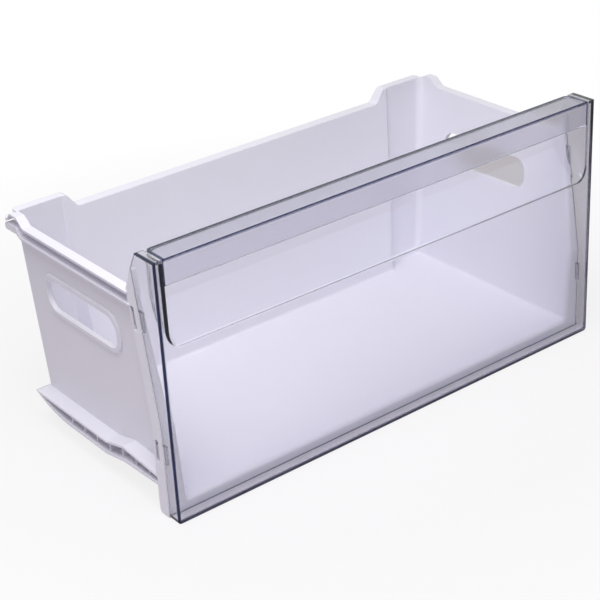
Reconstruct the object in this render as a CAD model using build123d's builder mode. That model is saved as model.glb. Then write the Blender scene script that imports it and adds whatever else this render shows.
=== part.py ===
from build123d import *
from math import atan, cos, degrees, radians, sqrt, tan
import os

# A freezer drawer: a white tub, a clear front panel and the clear strip that closes its finger recess.
# Millimetres, X to the right, Y to the back, Z up. A depth is counted from the panel's front face,
# and y_at turns it into Y, so that the origin lies under the middle of the whole drawer.

# Overall sizes
panel_width = 450.0
panel_height = 222.0
drawer_depth = 221.0
rim_overhang = 1.5

# Clearances between pieces
seat_gap = 0.2
strip_end_gap = 0.25
clip_gap = 0.3

# Front panel
pane_thickness = 3.0
flange_thickness = 3.0
flange_depth = 12.7
flange_bend_height = 78.0
flange_shoulder_depth = 32.5
flange_shoulder_height = 207.0
bottom_rim_thickness = 3.0
post_width = 7.7
panel_edge_radius = 1.5
panel_corner_radius = 3.0

# Finger recess and its strip
recess_bottom = 150.0
recess_depth = 21.8
recess_scoop_radius = 57.0
recess_wall = 2.4
recess_corner_radius = 10.0
strip_thickness = 3.0
strip_drop = 21.4
strip_setback = 0.8
strip_corner_radius = 6.0
strip_edge_radius = 0.4

# Clips: the tongue's length past the flange, its root on the flange and its size
clip_low = 57.3
clip_high = 165.5
clip_reach = 11.0
clip_root = 3.0
clip_thickness = 1.9
clip_width = 16.0
nub_length = 3.0
nub_rise = 1.8

# Tub
tub_wall = 2.4
floor_top = 12.0
floor_thickness = 2.5
rim_height = 186.0
rim_flange = 8.6
rim_thickness = 2.0
ear_rise = 5.3
ear_length = 32.0
ear_ramp_length = 9.0
back_drop = 7.0
back_cut_to_crease = 14.0
back_cut_ramp = 9.5
rim_bend_radius = 4.0
crown_length = 10.0
hook_dip_length = 6.5
hook_length = 4.0
hook_low_rise = 0.5
hook_tip_rise = 2.0
side_draft = 3.2
back_draft = 1.0
corner_column = 41.9
crease_turn = 45.0
crease_step_low = 12.6
crease_step_high = 0.6
tub_corner_radius = 6.0
rim_corner_radius = 3.5
floor_corner_radius = 3.0

# Guide groove below the rim: the ledge that closes it from below
groove_height = 8.0
ledge_thickness = 1.7
ledge_setback = 0.5
lug_length = 17.5
lug_ramp_length = 4.5
lug_rise = 7.0
lug_height = 5.8
lug_radius = 2.0

# Frame round the open front
frame_bottom = 0.4
frame_band = 12.5
frame_corner_radius = 3.5
mouth_radius = 3.5

# Slots that the clips snap into
slot_width = 4.2
slot_height = 20.0
slot_from_band_edge = 4.4
slot_radius = 1.4

# Runners low on the sides
runner_skin = 2.0
runner_top = 30.4
runner_height = 12.4
runner_hump = 6.7
runner_hump_low = 5.0
runner_hump_depth = 73.0
runner_ramp = 26.0
runner_front_fall = 3.2
runner_front_lift = 7.0
runner_bow = 53.5
runner_from_back = 13.5
runner_tip = 9.2
rib_count = 7
rib_first = 40.0
rib_pitch = 19.2
rib_thickness = 1.4
rib_setback = 2.6

# Hand-holes
hole_length = 103.0
hole_height = 29.5
hole_from_back = 97.0
hole_middle = 133.3
hole_radius = 12.0
collar_width = 4.6
collar_rise = 1.8
collar_bevel = 1.1
collar_sink = 0.6

# Sizes that follow from the ones above
panel_half = panel_width / 2
rim_span = panel_width + 2 * rim_overhang
flange_lean = (flange_shoulder_depth - flange_depth) / (flange_shoulder_height - flange_bend_height)
lean_angle = degrees(atan(flange_lean))
recess_half = panel_half - post_width
shelf_depth = recess_depth + recess_wall
strip_seat = panel_height - strip_thickness
ear_height = rim_height + ear_rise
back_height = rim_height - back_drop
floor_bottom = floor_top - floor_thickness
rim_inner = rim_span / 2 - rim_flange
ear_ramp_start = drawer_depth - ear_length
crown_height = ear_height + rim_thickness
crown_start = ear_ramp_start + ear_ramp_length
hook_dip_start = crown_start + crown_length
hook_low = hook_dip_start + hook_dip_length
hook_end = hook_low + hook_length
crease_half = rim_inner - corner_column
back_cut_half = crease_half - back_cut_to_crease
ledge_top = rim_height - rim_thickness - groove_height
ledge_half = rim_span / 2 - ledge_setback
lug_end = hook_end
lug_front = lug_end - lug_length
lug_top = ledge_top + lug_rise
runner_half = panel_half
runner_end = drawer_depth - runner_from_back
runner_bow_start = runner_end - runner_bow
hole_depth = drawer_depth - hole_from_back
clip_heights = (clip_low, clip_high)
band_inside = panel_half - tub_wall
clip_outside = band_inside - clip_gap
crease_lean = (crease_step_low - crease_step_high) / (ear_height - floor_top)
crease_draft = degrees(atan(tan(radians(back_draft)) * cos(radians(crease_turn))))
middle_draft = degrees(atan(tan(radians(back_draft)) + crease_lean))
well_clear = drawer_depth

os.makedirs("parts", exist_ok=True)


def y_at(depth):
    """Y of a depth counted from the panel's front face."""
    return depth - drawer_depth / 2


def flange_back(height):
    """Depth of the panel's side flange at a height: straight below its bend, leaning back above it."""
    return flange_depth + max(0, height - flange_bend_height) * flange_lean


def wall_half(height):
    """Half the tub's inner width at a height."""
    return rim_inner - (rim_height - height) * tan(radians(side_draft))


def back_depth(height):
    """Depth of the inner face of the tub's rear corners at a height."""
    return drawer_depth - rim_flange - (ear_height - height) * tan(radians(back_draft))


def half_plan(base, grow, front):
    """Right half of the tub's outline at its floor, drawn at a base, with the back's middle stepped forward."""
    half = wall_half(floor_top) + grow
    back = back_depth(floor_top) + grow
    crease = crease_half - grow * tan(radians(crease_turn / 2))
    with BuildSketch(Plane.XY.offset(base)) as plan:
        with BuildLine():
            Polyline(
                (0, y_at(front)),
                (half, y_at(front)),
                (half, y_at(back)),
                (crease, y_at(back)),
                (crease - crease_step_low, y_at(back - crease_step_low)),
                (0, y_at(back - crease_step_low)),
                close=True,
            )
        make_face()
    return plan.sketch


def lean_walls(part):
    """Leans the upright walls outwards: the back from its corner to its middle, then the side."""
    floor_plane = Plane.XY.offset(floor_top)
    for number, angle in enumerate((back_draft, crease_draft, middle_draft)):
        backs = part.faces().filter_by(lambda face: face.normal_at().Y > cos(radians(crease_turn)) / 2)
        draft(backs.sort_by(Axis.X, reverse=True)[number], floor_plane, -angle)
    draft(part.faces().sort_by(Axis.X)[-1], floor_plane, -side_draft)


def side_face(*corners, across=0):
    """A flat face in the side view, from corners of (depth, height), at a distance across from the middle."""
    with BuildSketch(Plane.YZ.offset(across)) as face:
        with BuildLine():
            Polyline(*[(y_at(depth), height) for depth, height in corners], close=True)
        make_face()
    return face.sketch


def frame_face(end, across):
    """The side view's strip along the back of the panel's flange up to the rim, as far back as an end."""
    return side_face(
        (flange_depth + seat_gap, frame_bottom),
        (flange_depth + seat_gap, flange_bend_height),
        (flange_back(rim_height) + seat_gap, rim_height),
        (flange_back(rim_height) + end, rim_height),
        (flange_depth + end, flange_bend_height),
        (flange_depth + end, frame_bottom),
        across=across,
    )


def horn_face(end, across):
    """The frame's point above the rim in the side view: it follows the flange up to the panel's shoulder."""
    return side_face(
        (flange_back(rim_height) + seat_gap, rim_height),
        (flange_back(flange_shoulder_height) + seat_gap, flange_shoulder_height),
        (flange_back(rim_height) + end, rim_height),
        across=across,
    )


def runner_face(inset):
    """The runner's side view, drawn in by an inset on every side."""
    low = runner_top - runner_height + inset
    high = runner_top - inset
    front = flange_depth + frame_band - tub_wall + inset
    tip = runner_end - runner_tip * inset / runner_skin
    with BuildSketch(Plane.YZ) as face:
        with BuildLine():
            bottom = Polyline(
                (y_at(front), low + runner_front_lift),
                (y_at(runner_hump_depth), low + runner_hump_low),
                (y_at(runner_hump_depth + runner_ramp), low),
                (y_at(runner_bow_start), low),
            )
            bow = TangentArc(bottom @ 1, (y_at(tip), high), tangent=(1, 0))
            Polyline(
                bow @ 1,
                (y_at(runner_hump_depth + runner_ramp), high),
                (y_at(runner_hump_depth), high + runner_hump),
                (y_at(front), high + runner_hump - runner_front_fall),
                bottom @ 0,
            )
        make_face()
    return face.sketch_local


def clip_place(height):
    """Where a clip's nub and slot sit in the side view, leaning with the band where the band leans."""
    lean = lean_angle if height > flange_bend_height else 0
    depth = flange_back(height) + frame_band - slot_from_band_edge
    return Location((y_at(depth), height, 0), (0, 0, -lean))


def scoop_face(grow, top):
    """The finger recess in the side view, grown by its wall's thickness or by nothing."""
    bend = recess_bottom + sqrt(recess_scoop_radius**2 - (recess_scoop_radius - recess_depth) ** 2)
    low = bend - sqrt((recess_scoop_radius + grow) ** 2 - (recess_scoop_radius - recess_depth) ** 2)
    back = y_at(recess_depth + grow)
    with BuildSketch(Plane.YZ) as face:
        with BuildLine():
            TangentArc((back, bend), (y_at(0), low), tangent=(0, -1))
            Polyline((y_at(0), low), (y_at(0), top), (back, top), (back, bend))
        make_face()
    return face.sketch


def scoop_edges(part):
    """The edges round the end of the recess, at its back and along its scoop."""
    end = part.edges().group_by(Axis.X)[-1]
    return end.filter_by(
        lambda edge: edge.center().Y > y_at(pane_thickness) and edge.center().Z < strip_seat - strip_thickness
    )


def wall_path():
    """The top of the side wall in the side view, from the front to the raised rear corner."""
    return FilletPolyline(
        (y_at(0), rim_height),
        (y_at(ear_ramp_start), rim_height),
        (y_at(crown_start), ear_height),
        (y_at(drawer_depth), ear_height),
        radius=rim_bend_radius,
    )


def side_path(drop):
    """The side rim's line in the side view: up a ramp to a crown on the wall's top, then down to a hook."""
    return FilletPolyline(
        (y_at(0), rim_height - drop),
        (y_at(ear_ramp_start), rim_height - drop),
        (y_at(crown_start), crown_height - drop),
        (y_at(hook_dip_start), crown_height - drop),
        (y_at(hook_low), rim_height + hook_low_rise - drop),
        (y_at(hook_end), rim_height + hook_tip_rise - drop),
        radius=rim_bend_radius,
    )


def back_path(drop):
    """The back rim's line in the front view, from the middle to the raised rear corner."""
    return FilletPolyline(
        (0, back_height - drop),
        (back_cut_half, back_height - drop),
        (back_cut_half + back_cut_ramp, ear_height - drop),
        (rim_inner, ear_height - drop),
        radius=rim_bend_radius,
    )


def on_mouth(edge):
    """True for an edge where the tub's space runs out through the frame's front face."""
    middle = edge.center()
    in_face = abs(middle.Y - y_at(flange_back(middle.Z) + seat_gap)) < seat_gap
    inside = middle.X < band_inside and middle.Z > floor_bottom + seat_gap
    return in_face and inside and middle.Z < rim_height - seat_gap


def under_band(edge):
    """True for the frame's lowest rear edge."""
    middle = edge.center()
    low = abs(middle.Z - frame_bottom) < seat_gap
    return low and abs(middle.Y - y_at(flange_depth + frame_band)) < seat_gap


def on_lug_end(edge):
    """True for the two edges at the rear end of the lug."""
    middle = edge.center()
    return abs(middle.Y - y_at(lug_end)) < seat_gap and ledge_top < middle.Z < lug_top + seat_gap


def on_outline(edge):
    """True for an edge on the outer side or the bottom of the panel's front face."""
    middle = edge.center()
    return middle.Z < panel_height - panel_edge_radius and middle.X > panel_edge_radius


def rear_corner(part):
    """The upright edge at the tub's rear corner."""
    upright = part.edges().filter_by(lambda edge: edge.bounding_box().size.Z > rim_height / 2)
    return upright.sort_by(lambda edge: edge.center().X + edge.center().Y)[-1:]


# The space inside the tub, right half, open to the front and the top
with BuildPart() as well:
    extrude(half_plan(floor_top, 0, -well_clear), amount=crown_height - floor_top)
    lean_walls(well)
    fillet(rear_corner(well), tub_corner_radius)
    floor_edges = well.edges().group_by(Axis.Z)[0].filter_by(lambda edge: edge.center().X > tub_wall)
    fillet(floor_edges.sort_by(Axis.Y)[1:], floor_corner_radius)

# Collar round the hand-hole, square to the drafted wall and with a bevelled edge
hole_plane = Plane(
    origin=(wall_half(hole_middle) + tub_wall - collar_sink, y_at(hole_depth), hole_middle),
    x_dir=(0, 1, 0),
    z_dir=(1, 0, -tan(radians(side_draft))),
)
with BuildPart() as collar:
    with BuildSketch(hole_plane):
        RectangleRounded(
            hole_length + 2 * collar_width, hole_height + 2 * collar_width, hole_radius + collar_width
        )
    extrude(amount=collar_sink + collar_rise)
    chamfer(collar.faces().sort_by(SortBy.AREA)[-2:].sort_by(Axis.X)[-1].edges(), collar_bevel)

# Half of the tub, mirrored at the end
with BuildPart() as tub:
    extrude(half_plan(floor_bottom, tub_wall, 0), amount=ear_height - floor_bottom)
    lean_walls(tub)
    fillet(rear_corner(tub), tub_corner_radius + tub_wall)
    bottom_edges = tub.edges().group_by(Axis.Z)[0].filter_by(lambda edge: edge.center().X > tub_wall)
    fillet(bottom_edges.sort_by(Axis.Y)[1:], floor_corner_radius + tub_wall)

    # What lies in front of the frame, and what lies above the rims, is cut away
    extrude(
        side_face(
            (-pane_thickness, -pane_thickness),
            (flange_depth + seat_gap, -pane_thickness),
            (flange_depth + seat_gap, flange_bend_height),
            (flange_back(panel_height) + seat_gap, panel_height),
            (-pane_thickness, panel_height),
        ),
        amount=rim_span,
        mode=Mode.SUBTRACT,
    )
    with BuildSketch(Plane.YZ):
        with BuildLine():
            path = wall_path()
            Polyline(path @ 1, (y_at(drawer_depth), panel_height), (y_at(0), panel_height), path @ 0)
        make_face()
    extrude(amount=rim_span, mode=Mode.SUBTRACT)
    with BuildSketch(Plane.XZ.offset(-y_at(drawer_depth))):
        with BuildLine():
            path = back_path(0)
            Polyline(path @ 1, (rim_span / 2, panel_height), (0, panel_height), path @ 0)
        make_face()
    extrude(amount=drawer_depth - ear_ramp_start, mode=Mode.SUBTRACT)

    # Rim flange along the side, then along the back, ramping up to the raised rear corner
    with BuildSketch(Plane.YZ.offset(rim_inner)):
        with BuildLine():
            upper = side_path(0)
            lower = side_path(rim_thickness)
            Line(upper @ 0, lower @ 0)
            Line(upper @ 1, lower @ 1)
        make_face()
        with Locations((y_at(flange_back(rim_height) + frame_band - tub_wall), ear_height)):
            Rectangle(drawer_depth, ear_height, align=(Align.MAX, Align.CENTER), mode=Mode.SUBTRACT)
    extrude(amount=rim_flange)
    with BuildSketch(Plane.XZ.offset(-y_at(drawer_depth))):
        with BuildLine():
            upper = back_path(0)
            lower = back_path(rim_thickness)
            Line(upper @ 0, lower @ 0)
            Line(upper @ 1, lower @ 1)
        make_face()
    extrude(amount=rim_flange)
    rim_corners = tub.edges().filter_by(Axis.Z).sort_by(lambda edge: edge.center().X + edge.center().Y)
    fillet(rim_corners[-2:], rim_corner_radius)

    # Ledge under the guide groove, turned up at its rear end into a lug that stops the cabinet's rail
    ledge_front = flange_back(ledge_top) + frame_band - tub_wall
    ledge_root = wall_half(ledge_top) + tub_wall / 2
    extrude(
        side_face(
            (ledge_front, ledge_top),
            (lug_front - lug_ramp_length, ledge_top),
            (lug_front, lug_top),
            (lug_end, lug_top),
            (lug_end, lug_top - lug_height),
            (lug_front, lug_top - lug_height),
            (lug_front - lug_ramp_length, ledge_top - ledge_thickness),
            (ledge_front, ledge_top - ledge_thickness),
            across=ledge_root,
        ),
        amount=ledge_half - ledge_root,
    )
    fillet(tub.edges().filter_by(Axis.X).filter_by(on_lug_end), lug_radius)

    # Frame: the face that the panel's flange seats on, the side band and the bottom lip
    extrude(frame_face(seat_gap + tub_wall, 0), amount=panel_half)
    extrude(frame_face(frame_band, band_inside), amount=tub_wall)
    extrude(
        side_face(
            (flange_depth + seat_gap, frame_bottom),
            (flange_depth + frame_band, frame_bottom),
            (flange_depth + frame_band, frame_bottom + tub_wall),
            (flange_depth + seat_gap, frame_bottom + tub_wall),
        ),
        amount=panel_half,
    )

    # Runner: a C-shaped channel with a hump near the front, a rear end like a bow, and ribs
    with BuildSketch(Plane.YZ.offset(wall_half(runner_top) + tub_wall / 2)):
        add(runner_face(0))
        add(runner_face(runner_skin), mode=Mode.SUBTRACT)
    extrude(amount=runner_half - wall_half(runner_top) - tub_wall / 2)
    with BuildSketch(Plane.YZ.offset(wall_half(runner_top) + tub_wall / 2)):
        with Locations(*[(y_at(rib_first + rib_pitch * number), runner_top) for number in range(rib_count)]):
            Rectangle(rib_thickness, 2 * runner_height)
        add(runner_face(runner_skin / 2), mode=Mode.INTERSECT)
    extrude(amount=runner_half - rib_setback - wall_half(runner_top) - tub_wall / 2)

    add(collar.part)
    add(well.part, mode=Mode.SUBTRACT)

    # Rounded mouth: the edge between the frame's face and the space inside, along the floor and the wall
    fillet(tub.edges().filter_by(on_mouth), mouth_radius)
    fillet(tub.edges().filter_by(Axis.X).filter_by(under_band), frame_corner_radius)

    # Horns: the frame's face and side band run on above the rim, up to the shoulder of the panel's flange
    extrude(horn_face(seat_gap + tub_wall, rim_inner), amount=panel_half - rim_inner)
    extrude(horn_face(frame_band, band_inside), amount=tub_wall)

    # Hand-hole through wall and collar
    with BuildSketch(hole_plane):
        RectangleRounded(hole_length, hole_height, hole_radius)
    extrude(amount=rim_flange, both=True, mode=Mode.SUBTRACT)

    # Slots for the clips, and slits that let their tongues through the frame's face
    for height in clip_heights:
        with BuildSketch(Plane.YZ.offset(panel_half)):
            with Locations(clip_place(height)):
                RectangleRounded(slot_width, slot_height, slot_radius)
        extrude(amount=-2 * tub_wall, mode=Mode.SUBTRACT)
        with BuildSketch(Plane.XY.offset(height - clip_width / 2 - clip_gap)):
            with Locations((clip_outside + clip_gap, y_at(flange_back(height)))):
                Rectangle(clip_thickness + 2 * clip_gap, 4 * tub_wall, align=(Align.MAX, Align.CENTER))
        extrude(amount=clip_width + 2 * clip_gap, mode=Mode.SUBTRACT)

    mirror(about=Plane.YZ)

tub.part.label = "tub"
export_step(tub.part, "parts/tub.step")

# Right half of the space in the finger recess, and right half of the same with the wall round it
with BuildPart() as recess:
    extrude(scoop_face(0, panel_height + strip_thickness), amount=recess_half)
    fillet(scoop_edges(recess), recess_corner_radius)

with BuildPart() as recess_outside:
    extrude(scoop_face(recess_wall, strip_seat - seat_gap), amount=recess_half + recess_wall)
    fillet(scoop_edges(recess_outside), recess_corner_radius + recess_wall)

# Half of the front panel, mirrored at the end
with BuildPart() as front_panel:
    extrude(
        side_face(
            (0, 0),
            (flange_depth, 0),
            (flange_depth, flange_bend_height),
            (flange_shoulder_depth, flange_shoulder_height),
            (shelf_depth, panel_height),
            (0, panel_height),
        ),
        amount=panel_half,
    )
    low_corner = front_panel.edges().filter_by(Axis.Y).group_by(Axis.Z)[0].sort_by(Axis.X)[-1:]
    fillet(low_corner, panel_corner_radius)
    front_face = front_panel.faces().sort_by(Axis.Y)[0]
    fillet(front_face.edges().filter_by(on_outline), panel_edge_radius)
    with BuildSketch(Plane.XZ.offset(-y_at(drawer_depth))):
        with Locations((0, bottom_rim_thickness)):
            Rectangle(panel_half - flange_thickness, panel_height, align=(Align.MIN, Align.MIN))
    extrude(amount=drawer_depth - pane_thickness, mode=Mode.SUBTRACT)

    # Wall of the recess, and the cap on the post beside it
    add(recess_outside.part)
    with BuildSketch(Plane.XY.offset(strip_seat)):
        with Locations((recess_half, y_at(pane_thickness))):
            Rectangle(
                post_width - flange_thickness, shelf_depth - pane_thickness, align=(Align.MIN, Align.MIN)
            )
    extrude(amount=strip_thickness)
    add(recess.part, mode=Mode.SUBTRACT)

    # Clips: a tongue on the flange's inner side, with a nub that snaps into the tub's slot
    for height in clip_heights:
        with BuildSketch(Plane.XY.offset(height - clip_width / 2)):
            with Locations((clip_outside, y_at(flange_back(height) - clip_root))):
                Rectangle(clip_thickness, clip_root + clip_reach, align=(Align.MAX, Align.MIN))
        extrude(amount=clip_width)
        with BuildSketch(Plane.YZ.offset(clip_outside)):
            with Locations(clip_place(height)):
                Rectangle(nub_length, clip_width - nub_length)
        extrude(amount=clip_gap + nub_rise)

    mirror(about=Plane.YZ)

front_panel.part.label = "front_panel"
export_step(front_panel.part, "parts/front_panel.step")

# Half of the strip over the recess, mirrored at the end
with BuildPart() as handle_strip:
    extrude(
        side_face(
            (strip_setback, panel_height),
            (shelf_depth, panel_height),
            (shelf_depth, strip_seat),
            (strip_setback + strip_thickness, strip_seat),
            (strip_setback + strip_thickness, panel_height - strip_drop),
            (strip_setback, panel_height - strip_drop),
        ),
        amount=recess_half - strip_end_gap,
    )
    rear_edge = handle_strip.edges().filter_by(Axis.Z).group_by(Axis.X)[-1].sort_by(Axis.Y)[-1:]
    fillet(rear_edge, strip_corner_radius)
    long_edges = handle_strip.edges().filter_by(Axis.X)
    fillet(long_edges.filter_by(lambda edge: edge.center().Y < y_at(2 * strip_thickness)), strip_edge_radius)
    mirror(about=Plane.YZ)

handle_strip.part.label = "handle_strip"
export_step(handle_strip.part, "parts/handle_strip.step")
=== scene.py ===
# %% [markdown]
# A freezer drawer in white and clear plastic
#
# The drawer is three mouldings: a white tub, a clear front panel, and a clear strip over the panel's
# finger recess. Their shapes were finished in CAD. They could be modelled again in Blender, but a second
# model would drift away from the first, so they are loaded as they are and never moved.
# The script only adds materials, a floor, light and a camera.
# Everything is in metres, with X to the right, Y to the back and Z up, as in the CAD.

# %% Load the CAD pieces
import bpy
from mathutils import Matrix, Vector

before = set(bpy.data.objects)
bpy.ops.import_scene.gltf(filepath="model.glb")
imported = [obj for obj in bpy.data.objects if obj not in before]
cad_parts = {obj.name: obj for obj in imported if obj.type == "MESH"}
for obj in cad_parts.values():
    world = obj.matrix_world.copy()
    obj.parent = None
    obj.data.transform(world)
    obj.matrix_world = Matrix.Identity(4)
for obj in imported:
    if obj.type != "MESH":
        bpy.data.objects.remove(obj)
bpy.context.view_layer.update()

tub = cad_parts["tub"]
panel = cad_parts["front_panel"]
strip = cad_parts["handle_strip"]

# %% [markdown]
# Helpers for node trees
#
# A material is a tree of nodes. The trees could be drawn by hand in the Shader Editor, but in a script
# every step can be read and repeated. Blender's Python takes several lines to make a node, set its inputs
# and link it, so two small functions do that. An input may be given as a plain value or as the output
# socket of another node, and the first function tells the two apart.

# %% Helpers that add and feed nodes


def feed(tree, value, socket):
    """Fills an input socket with a plain value, or links an output socket to it."""
    if isinstance(value, bpy.types.NodeSocket):
        tree.links.new(value, socket)
    else:
        socket.default_value = value


def add(tree, kind, place, settings=None, **inputs):
    """Adds a node of a kind at a place in the tree, with its settings and with its inputs fed by name."""
    node = tree.nodes.new(kind)
    node.location = place
    for name, value in (settings or {}).items():
        setattr(node, name, value)
    for name, value in inputs.items():
        feed(tree, value, node.inputs[name.replace("_", " ")])
    return node


print("helpers ready:", feed.__name__, add.__name__)

# %% [markdown]
# Some nodes have several inputs of the same name, such as the two values of a Math node or the two colours
# of a Mix node. Those inputs are told apart by their number, so these three nodes get a function each.

# %% Helpers for nodes whose inputs go by number


def number(tree, operation, place, *values):
    """Adds a Math node on one or two values and gives its output socket."""
    node = add(tree, "ShaderNodeMath", place, {"operation": operation})
    for slot, value in enumerate(values):
        feed(tree, value, node.inputs[slot])
    return node.outputs["Value"]


def mix_colours(tree, place, mask, colour_at_0, colour_at_1):
    """Adds a Mix node between two colours. Its colours are inputs 6 and 7 and its result is output 2."""
    node = add(tree, "ShaderNodeMix", place, {"data_type": "RGBA"})
    for slot, value in ((0, mask), (6, colour_at_0), (7, colour_at_1)):
        feed(tree, value, node.inputs[slot])
    return node.outputs[2]


def mix_shaders(tree, place, mask, shader_at_0, shader_at_1):
    """Adds a Mix Shader node between two shaders and gives its output socket."""
    node = add(tree, "ShaderNodeMixShader", place)
    for slot, value in enumerate((mask, shader_at_0, shader_at_1)):
        feed(tree, value, node.inputs[slot])
    return node.outputs["Shader"]


print("helpers ready:", number.__name__, mix_colours.__name__, mix_shaders.__name__)

# %% [markdown]
# What moulded plastic has in common
#
# Plastic from a mould is never perfectly even. Its colour drifts a little, its gloss is a little patchy, its
# skin has a very fine grain, and use leaves hair scratches. This could be painted as an image, but noise
# textures have no seams and no largest zoom. Both the white and the clear plastic need it, so it is built
# once, as a node group with named inputs and outputs, and each material places it with its own values.
# The textures read Object coordinates, which are metres on the CAD pieces, so the pattern stays on them.

# %% Node group: sockets of the moulded skin
skin = bpy.data.node_groups.new("Moulded skin", "ShaderNodeTree")
for name, low, high, start in (
    ("Grain Scale", 1, 20000, 2500),
    ("Patch Scale", 1, 500, 14),
    ("Patch Contrast", 0, 1, 0.5),
    ("Scratch Scale", 1, 5000, 220),
):
    socket = skin.interface.new_socket(name, in_out="INPUT", socket_type="NodeSocketFloat")
    socket.min_value = low
    socket.max_value = high
    socket.default_value = start
for name in ("Patches", "Grain", "Scratches"):
    skin.interface.new_socket(name, in_out="OUTPUT", socket_type="NodeSocketFloat")
given = add(skin, "NodeGroupInput", (-900, 0)).outputs
print("group", skin.name, "takes", [socket.name for socket in given if socket.name])

# %% [markdown]
# The patches are a broad, soft noise and the grain is a very fine one. For the scratches, a Mapping node
# turns and stretches the coordinates, so that the noise becomes long hairs, and only its peaks are kept.

# %% Node group: patches, grain and scratches
where = add(skin, "ShaderNodeTexCoord", (-900, 300)).outputs["Object"]
patch = add(skin, "ShaderNodeTexNoise", (-400, 400), Vector=where, Scale=given["Patch Scale"],
            Detail=4.0, Roughness=0.55)
spread = add(skin, "ShaderNodeMapRange", (-100, 400), {"clamp": True}, Value=patch.outputs["Fac"],
             From_Min=0.32, From_Max=0.68)
patches = number(skin, "MULTIPLY", (200, 400), spread.outputs["Result"], given["Patch Contrast"])
grain = add(skin, "ShaderNodeTexNoise", (-400, 120), Vector=where, Scale=given["Grain Scale"],
            Detail=2.0, Roughness=0.5)
stretch = add(skin, "ShaderNodeMapping", (-650, -160), Vector=where,
              Rotation=(0.3, 0.5, 0.9), Scale=(1.0, 14.0, 3.0))
hair = add(skin, "ShaderNodeTexNoise", (-400, -160), Vector=stretch.outputs["Vector"],
           Scale=given["Scratch Scale"], Detail=3.0, Roughness=0.7, Distortion=0.4)
peaks = add(skin, "ShaderNodeMapRange", (-100, -160), {"clamp": True}, Value=hair.outputs["Fac"],
            From_Min=0.66, From_Max=0.74)
add(skin, "NodeGroupOutput", (700, 0), Patches=patches, Grain=grain.outputs["Fac"],
    Scratches=peaks.outputs["Result"])
print("group", skin.name, "with", len(skin.nodes), "nodes")

# %% [markdown]
# A new material comes with nodes of its own. They are cleared, so that every material starts from the same
# two: the Principled shader, which can be any plastic, and the output that it feeds.

# %% Helper that starts a material


def start_material(name):
    """A new material with only its Principled shader and its output, linked."""
    material = bpy.data.materials.new(name)
    material.use_nodes = True
    tree = material.node_tree
    tree.nodes.clear()
    output = add(tree, "ShaderNodeOutputMaterial", (900, 0))
    shader = add(tree, "ShaderNodeBsdfPrincipled", (500, 0))
    feed(tree, shader.outputs["BSDF"], output.inputs["Surface"])
    return material, shader, output


print("helper ready:", start_material.__name__)

# %% [markdown]
# White plastic for the tub
#
# The tub is white with a touch of lavender and a satin gloss. One plain colour would look like paper, so
# the group's patches drift the colour and the roughness, and its grain goes through a Bump node. The CAD
# edges are sharp or small. Rounding them all in the mesh would take many faces, so the Bevel node rounds
# them in the shading only, which is what gives a moulded edge its soft bright line.

# %% Material: white plastic
white, shader, _ = start_material("white plastic")
tree = white.node_tree
pale_lavender = (0.815, 0.80, 0.885, 1)
deep_lavender = (0.79, 0.775, 0.86, 1)
look = add(tree, "ShaderNodeGroup", (-700, 0), {"node_tree": skin},
           Grain_Scale=1800.0, Patch_Scale=9.0).outputs
colour = mix_colours(tree, (-350, 250), look["Patches"], pale_lavender, deep_lavender)
gloss = add(tree, "ShaderNodeMapRange", (-350, 0), Value=look["Patches"], To_Min=0.34, To_Max=0.42)
round_edges = add(tree, "ShaderNodeBevel", (-350, -400), {"samples": 4}, Radius=0.0007)
bump = add(tree, "ShaderNodeBump", (100, -300), Strength=0.12, Distance=0.0002,
           Height=look["Grain"], Normal=round_edges.outputs["Normal"])
feed(tree, colour, shader.inputs["Base Color"])
feed(tree, gloss.outputs["Result"], shader.inputs["Roughness"])
feed(tree, bump.outputs["Normal"], shader.inputs["Normal"])
print("material", white.name, "with", len(tree.nodes), "nodes")

# %% [markdown]
# Painted dark lines along the clear edges
#
# Light that enters clear plastic at an edge runs a long way inside it, so the edges look like thin navy
# lines. A renderer finds such light only with very many rays, so here the lines are painted shade, laid into
# the base colour by place.
# The group measures how far a point is from the edge of a flat sheet with two rounded corners. It takes
# the point as across, along and height, so that a material can lay the sheet on any side of a piece.

# %% Node group: sockets of the outline
outline = bpy.data.node_groups.new("Outline", "ShaderNodeTree")
outline.interface.new_socket("Place", in_out="INPUT", socket_type="NodeSocketVector")
for name in ("Half Length", "Reach", "Corner Radius", "Width", "Face", "Face Depth"):
    outline.interface.new_socket(name, in_out="INPUT", socket_type="NodeSocketFloat")
outline.interface.new_socket("Line", in_out="OUTPUT", socket_type="NodeSocketFloat")
given = add(outline, "NodeGroupInput", (-1200, 0)).outputs
print("group", outline.name, "takes", [socket.name for socket in given if socket.name])

# %% [markdown]
# The sheet is drawn in by its corner radius first. Outside the smaller sheet, the way to it is a straight
# length, or a slanted one at a corner, which the root of two squares gives. Inside it, the way is to the
# nearest side. What is left of the radius after that is the way to the real, rounded edge.

# %% Node group: way from a point to the outline
axes = add(outline, "ShaderNodeSeparateXYZ", (-1000, 0), Vector=given["Place"]).outputs
radius = given["Corner Radius"]
side = number(outline, "ABSOLUTE", (-800, 150), axes["X"])
half = number(outline, "SUBTRACT", (-800, 300), given["Half Length"], radius)
across = number(outline, "SUBTRACT", (-600, 300), side, half)
reach = number(outline, "SUBTRACT", (-800, 0), given["Reach"], radius)
along = number(outline, "SUBTRACT", (-600, 0), axes["Y"], reach)
across_out = number(outline, "MAXIMUM", (-400, 300), across, 0.0)
along_out = number(outline, "MAXIMUM", (-400, 0), along, 0.0)
across_square = number(outline, "MULTIPLY", (-200, 300), across_out, across_out)
along_square = number(outline, "MULTIPLY", (-200, 0), along_out, along_out)
squares = number(outline, "ADD", (0, 150), across_square, along_square)
corner = number(outline, "SQRT", (200, 150), squares)
nearest_side = number(outline, "MAXIMUM", (-200, -150), across, along)
inside = number(outline, "MINIMUM", (0, -100), nearest_side, 0.0)
from_corner = number(outline, "ADD", (300, -100), corner, inside)
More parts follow.
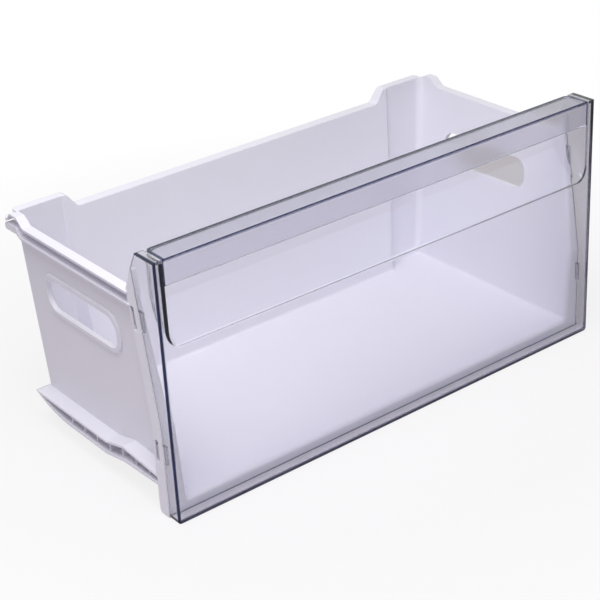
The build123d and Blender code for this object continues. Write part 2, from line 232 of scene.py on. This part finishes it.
to_edge = number(outline, "SUBTRACT", (400, 0), radius, from_corner)
print("group", outline.name, "measures the way to the edge with", len(outline.nodes), "nodes")

# %% [markdown]
# The line is where a point is near the edge and also near the face that carries the line. Each of the two
# distances is set against its own limit, the weaker one counts, and a Map Range node makes it a mask that
# is 1 on the line and fades at its border.

# %% Node group: mask of the line
from_face = number(outline, "SUBTRACT", (-600, -400), axes["Z"], given["Face"])
to_face = number(outline, "ABSOLUTE", (-400, -400), from_face)
near = []
for distance, limit, height in ((to_edge, "Width", 100), (to_face, "Face Depth", -300)):
    share = number(outline, "DIVIDE", (600, height), distance, given[limit])
    near.append(number(outline, "SUBTRACT", (800, height), 1.0, share))
weaker = number(outline, "MINIMUM", (950, 0), *near)
border = add(outline, "ShaderNodeMapRange", (1050, 0), {"clamp": True}, Value=weaker,
             From_Min=0.0, From_Max=0.35)
add(outline, "NodeGroupOutput", (1200, 0), Line=border.outputs["Result"])
print("group", outline.name, "with", len(outline.nodes), "nodes")

# %% [markdown]
# A piece has several such lines. A function places the group once for each of them, turned to its side of
# the piece, and keeps the strongest. Each line is given by its axes for across, along and height, where a
# minus sign turns an axis round, and by the sizes that the group takes.

# %% The lines of one piece as one mask


def edge_line(order, half_length, reach, face, width, face_depth, corner_radius=0.0):
    """One painted dark line: its axes, and its sizes under the names of the group's inputs."""
    sizes = {
        "Half_Length": half_length,
        "Reach": reach,
        "Corner_Radius": corner_radius,
        "Width": width,
        "Face": face,
        "Face_Depth": face_depth,
    }
    return order, sizes


def painted_lines_mask(tree, lines):
    """Places the outline group for each line and gives the socket of the strongest."""
    where = add(tree, "ShaderNodeTexCoord", (-1500, 500)).outputs["Object"]
    axes = add(tree, "ShaderNodeSeparateXYZ", (-1300, 500), Vector=where).outputs
    mask = 0.0
    for row, (order, sizes) in enumerate(lines):
        height = 900 - 250 * row
        laid = add(tree, "ShaderNodeCombineXYZ", (-1000, height))
        for slot, axis in zip("XYZ", order):
            sign = -1.0 if axis.startswith("-") else 1.0
            signed = number(tree, "MULTIPLY", (-1150, height), axes[axis[-1]], sign)
            feed(tree, signed, laid.inputs[slot])
        edge = add(tree, "ShaderNodeGroup", (-800, height), {"node_tree": outline},
                   Place=laid.outputs["Vector"], **sizes)
        mask = number(tree, "MAXIMUM", (-600, height), mask, edge.outputs["Line"])
    return mask


print("helpers ready:", edge_line.__name__, painted_lines_mask.__name__)

# %% [markdown]
# A lamp behind a clear wall
#
# A clear panel lets lamp light into the drawer, but in a renderer glass throws a full shadow, unless
# caustics are computed, and those are slow and grainy. The Light Path node knows a ray that only asks
# whether a lamp is in sight. For such a ray the plastic is a plain Transparent shader that takes out a
# little light at each surface, and for all other rays it stays real clear plastic.

# %% Lamp light through clear plastic
share_let_through = (0.88, 0.88, 0.89, 1)


def let_lamps_through(tree, shader, output):
    """Makes a clear material let the light of lamps pass."""
    shadow_ray = add(tree, "ShaderNodeLightPath", (500, 500)).outputs["Is Shadow Ray"]
    passed = add(tree, "ShaderNodeBsdfTransparent", (500, 200), Color=share_let_through)
    surface = mix_shaders(tree, (750, 100), shadow_ray, shader.outputs["BSDF"], passed.outputs["BSDF"])
    feed(tree, surface, output.inputs["Surface"])


print("function ready:", let_lamps_through.__name__)

# %% [markdown]
# Clear plastic for the front and its strip
#
# The panel and the strip are clear with a breath of blue. The colour could be set on the surface, but then a
# thin wall and a thick one would look the same. Instead, a Volume Absorption node takes out a little light on
# every millimetre of the way, and less of the blue than of the rest. The Bevel node rounds the sharp edges
# in the shading, because light caught behind a sharp edge would draw a black line there. The white
# surroundings would make the gloss too strong, so the reflection is weakened and tinted blue.

# %% Material: clear plastic
# Dark blue of the painted edge lines: painted shade for the light that runs inside the edges.
painted_edge_navy = (0.001, 0.002, 0.03, 1)
unpainted_clear = (1, 1, 1, 1)
blue_reflection = (0.65, 0.75, 1.0, 1)
patchiness = 0.04


def clear_plastic(name, colour, density, haze, rounding, lines):
    """Clear plastic with its absorption, its roughness, the radius of its edges and its painted dark edge
    lines.
    """
    material, shader, output = start_material(name)
    tree = material.node_tree
    shader.inputs["Transmission Weight"].default_value = 1.0
    shader.inputs["IOR"].default_value = 1.5
    shader.inputs["Specular IOR Level"].default_value = 0.3
    shader.inputs["Specular Tint"].default_value = blue_reflection
    look = add(tree, "ShaderNodeGroup", (-700, 0), {"node_tree": skin},
               Grain_Scale=900.0, Patch_Scale=11.0).outputs
    marks = number(tree, "MAXIMUM", (-400, 0), look["Patches"], look["Scratches"])
    gloss = add(tree, "ShaderNodeMapRange", (-150, 0), Value=marks, To_Min=haze, To_Max=haze + patchiness)
    round_edges = add(tree, "ShaderNodeBevel", (-350, -400), {"samples": 6}, Radius=rounding)
    bump = add(tree, "ShaderNodeBump", (100, -300), Strength=0.02, Distance=0.0002,
               Height=look["Patches"], Normal=round_edges.outputs["Normal"])
    # The dark edge lines are painted shade, mixed into the base colour.
    painted_edge_shade = mix_colours(tree, (100, 300), painted_lines_mask(tree, lines), unpainted_clear, painted_edge_navy)
    body = add(tree, "ShaderNodeVolumeAbsorption", (500, -400), Color=colour, Density=density)
    feed(tree, painted_edge_shade, shader.inputs["Base Color"])
    feed(tree, gloss.outputs["Result"], shader.inputs["Roughness"])
    feed(tree, bump.outputs["Normal"], shader.inputs["Normal"])
    feed(tree, body.outputs["Volume"], output.inputs["Volume"])
    let_lamps_through(tree, shader, output)
    return material


print("function ready:", clear_plastic.__name__)

# %% [markdown]
# Where the painted dark lines run
#
# On the real panel they show down both sides and along the bottom of the front face, on the ends of the top
# and along the back of the bottom rim. On the strip they show round the top plate, along its front edge and
# at both ends. Their places could be typed in, but they belong to the CAD pieces, so they are taken from the
# boxes of the pieces. Two sizes are in no box: the thickness of the bottom rim, and the gap between it and
# the tub.

# %% Dark lines of the panel and the strip


def box(piece):
    """The lowest and the highest corner of a CAD piece."""
    return Vector(piece.bound_box[0]), Vector(piece.bound_box[6])


panel_low, panel_high = box(panel)
strip_low, strip_high = box(strip)
tub_low, _ = box(tub)
rim_thickness = 0.003
rim_gap = 0.0002
rim_back = tub_low.y - rim_gap
beyond = 1.0  # a side of the sheet that lies far outside the piece and so draws no line
top_to_back = ("X", "Y", "Z")
top_to_front = ("X", "-Y", "Z")
front_upwards = ("X", "Z", "Y")
front_downwards = ("X", "-Z", "Y")
front_lines = [
    edge_line(front_downwards, panel_high.x, -panel_low.z, panel_low.y,
              width=0.0024, face_depth=0.0018, corner_radius=0.002),
    edge_line(top_to_back, panel_high.x, beyond, panel_high.z, width=0.0026, face_depth=0.0018),
    edge_line(top_to_back, beyond, rim_back, rim_thickness, width=0.0010, face_depth=0.0010),
]
strip_lines = [
    edge_line(top_to_back, strip_high.x, strip_high.y, strip_high.z,
              width=0.0034, face_depth=0.0014, corner_radius=0.006),
    edge_line(top_to_front, beyond, -strip_low.y, strip_high.z, width=0.0009, face_depth=0.0009),
    edge_line(front_upwards, strip_high.x, beyond, strip_low.y, width=0.0014, face_depth=0.0010),
]
print("dark lines:", len(front_lines), "on the panel and", len(strip_lines), "on the strip")

# %% [markdown]
# Materials on the pieces
#
# The panel is polished, so its roughness is close to nothing. What lies behind the strip looks blurred, so
# the strip gets a haze. Both could share one material, but an average would suit neither, so the same
# function makes two. Colours and densities were set by comparing renders with the photo.

# %% Materials on the three pieces
clear_front = clear_plastic(
    "clear plastic front", colour=(0.355, 0.355, 0.47, 1), density=66.0, haze=0.012, rounding=0.002,
    lines=front_lines)
clear_strip = clear_plastic(
    "clear plastic strip", colour=(0.34, 0.345, 0.60, 1), density=56.0, haze=0.18, rounding=0.0008,
    lines=strip_lines)
for piece, material in ((tub, white), (panel, clear_front), (strip, clear_strip)):
    piece.data.materials.clear()
    piece.data.materials.append(material)
print("materials on", tub.name, panel.name, strip.name)

# %% [markdown]
# Floor
#
# The drawer stands on a plain floor that has no edge in sight. A curved backdrop would do as well, but a
# wide plane is enough under a white world. It lies a hair below the drawer, so that no two faces coincide.

# %% Floor plane
floor_span = 12
floor_drop = 0.0005
bpy.ops.mesh.primitive_plane_add(size=floor_span, location=(0, 0, -floor_drop))
floor = bpy.context.object
floor.name = "floor"
print("floor of", floor_span, "m")

# %% [markdown]
# The floor is white with a soft shadow under the drawer. A floor that is bright enough to be white would
# throw too much light back at the drawer, so its whiteness is only seen. The Light Path node finds the rays
# that come from the camera, and for those the floor glows white away from the drawer and keeps a part of
# its shading close to it. Rays off a gloss or through the clear plastic see a fifth of that white, so that
# the plastic keeps the greys of a real room. Light itself meets an ordinary pale floor.

# %% Material: pale floor
white_to_gloss_and_glass = 0.2
paper, shader, output = start_material("pale floor")
tree = paper.node_tree
shader.inputs["Base Color"].default_value = (0.68, 0.63, 0.68, 1)
shader.inputs["Roughness"].default_value = 0.9
where = add(tree, "ShaderNodeTexCoord", (-500, 300)).outputs["Object"]
away = add(tree, "ShaderNodeVectorMath", (-300, 300), {"operation": "LENGTH"}, Vector=where)
fade = add(tree, "ShaderNodeMapRange", (-100, 300), Value=away.outputs["Value"],
           From_Min=0.25, From_Max=0.6, To_Min=0.82, To_Max=1.0)
rays = add(tree, "ShaderNodeLightPath", (-400, 600)).outputs
other = number(tree, "MAXIMUM", (-200, 500), rays["Is Glossy Ray"], rays["Is Transmission Ray"])
part = number(tree, "MULTIPLY", (0, 500), other, white_to_gloss_and_glass)
seen = number(tree, "MAXIMUM", (150, 600), rays["Is Camera Ray"], part)
share = number(tree, "MULTIPLY", (300, 300), fade.outputs["Result"], seen)
glow = add(tree, "ShaderNodeEmission", (500, 300), Color=(1, 1, 1, 1), Strength=1.0)
surface = mix_shaders(tree, (750, 200), share, shader.outputs["BSDF"], glow.outputs["Emission"])
feed(tree, surface, output.inputs["Surface"])
floor.data.materials.append(paper)
print("material", paper.name, "on", floor.name)

# %% [markdown]
# White surroundings
#
# The background is plain white. A world of that strength would light the drawer flat from all sides, so the
# Light Path node again keeps apart what is seen and what gives light. The camera, a gloss and the clear
# plastic see white, and the light that the world gives is much weaker and only fills the shade.

# %% World
light_given = 0.29
white_seen = 1.0
world = bpy.data.worlds.new("studio")
bpy.context.scene.world = world
world.use_nodes = True
tree = world.node_tree
tree.nodes.clear()
rays = add(tree, "ShaderNodeLightPath", (-600, 200)).outputs
seen = number(tree, "MAXIMUM", (-400, 200), rays["Is Camera Ray"], rays["Is Glossy Ray"])
seen = number(tree, "MAXIMUM", (-200, 200), seen, rays["Is Transmission Ray"])
fill = add(tree, "ShaderNodeBackground", (0, 0), Color=(1, 1, 1, 1), Strength=light_given)
backdrop = add(tree, "ShaderNodeBackground", (0, -150), Color=(1, 1, 1, 1), Strength=white_seen)
surface = mix_shaders(tree, (300, 0), seen, fill.outputs["Background"], backdrop.outputs["Background"])
add(tree, "ShaderNodeOutputWorld", (500, 0), Surface=surface)
print("world ready:", world.name)

# %% [markdown]
# Light
#
# The light in a studio comes from wide, soft boxes, and an area lamp is Blender's form of one. The key lamp
# hangs almost overhead, a little to the left and the front. It brightens the rims, the floor of the tub and
# the inside of the right wall, and it only grazes the outer left wall. A second, much weaker lamp stands low
# on the left and lifts that wall and the runner below it out of the shade.

# %% Lamps


def lamp(name, place, target, size, power):
    """A square area lamp at a place, aimed at a target."""
    data = bpy.data.lights.new(name, "AREA")
    data.size = size
    data.energy = power
    thing = bpy.data.objects.new(name, data)
    bpy.context.scene.collection.objects.link(thing)
    thing.location = place
    thing.rotation_euler = (Vector(target) - Vector(place)).to_track_quat("-Z", "Y").to_euler()
    print(name, "at", place, "with", power, "W")


lamp("key lamp", place=(-0.40, -0.30, 1.15), target=(0, 0, 0.1), size=0.7, power=11.5)
lamp("side lamp", place=(-1.30, -0.50, 0.35), target=(-0.2, 0, 0.1), size=0.9, power=0.8)

# %% [markdown]
# Camera
#
# A camera can be aimed by eye, but then it takes many tries to make every edge fall in place. This one was
# worked out from the straight edges of the photo: where it stands, which way it looks and how far it is
# rolled. The three directions are its right, down and forward in the drawer's frame.
# Blender's camera looks along its own minus Z, with Y up, so down and forward change sign.

# %% Camera
right = Vector((0.781671, -0.621756, -0.049098))
down = Vector((-0.320986, -0.333548, -0.886405))
forward = Vector((0.534751, 0.708636, -0.4603))
eye_place = Vector((-0.752829, -0.977488, 0.711022))
view = bpy.data.cameras.new("photo camera")
view.lens = 96.663
view.sensor_width = 36.0
camera = bpy.data.objects.new("photo camera", view)
bpy.context.scene.collection.objects.link(camera)
turn = Matrix((right, -down, -forward)).transposed()
camera.matrix_world = Matrix.Translation(eye_place) @ turn.to_4x4()
bpy.context.scene.camera = camera
print("camera at", list(eye_place))

# %% [markdown]
# Finish
#
# The Standard view transform keeps colours as they are written, where others would bend them like film.

# %% Finish
bpy.context.scene.view_settings.view_transform = "Standard"
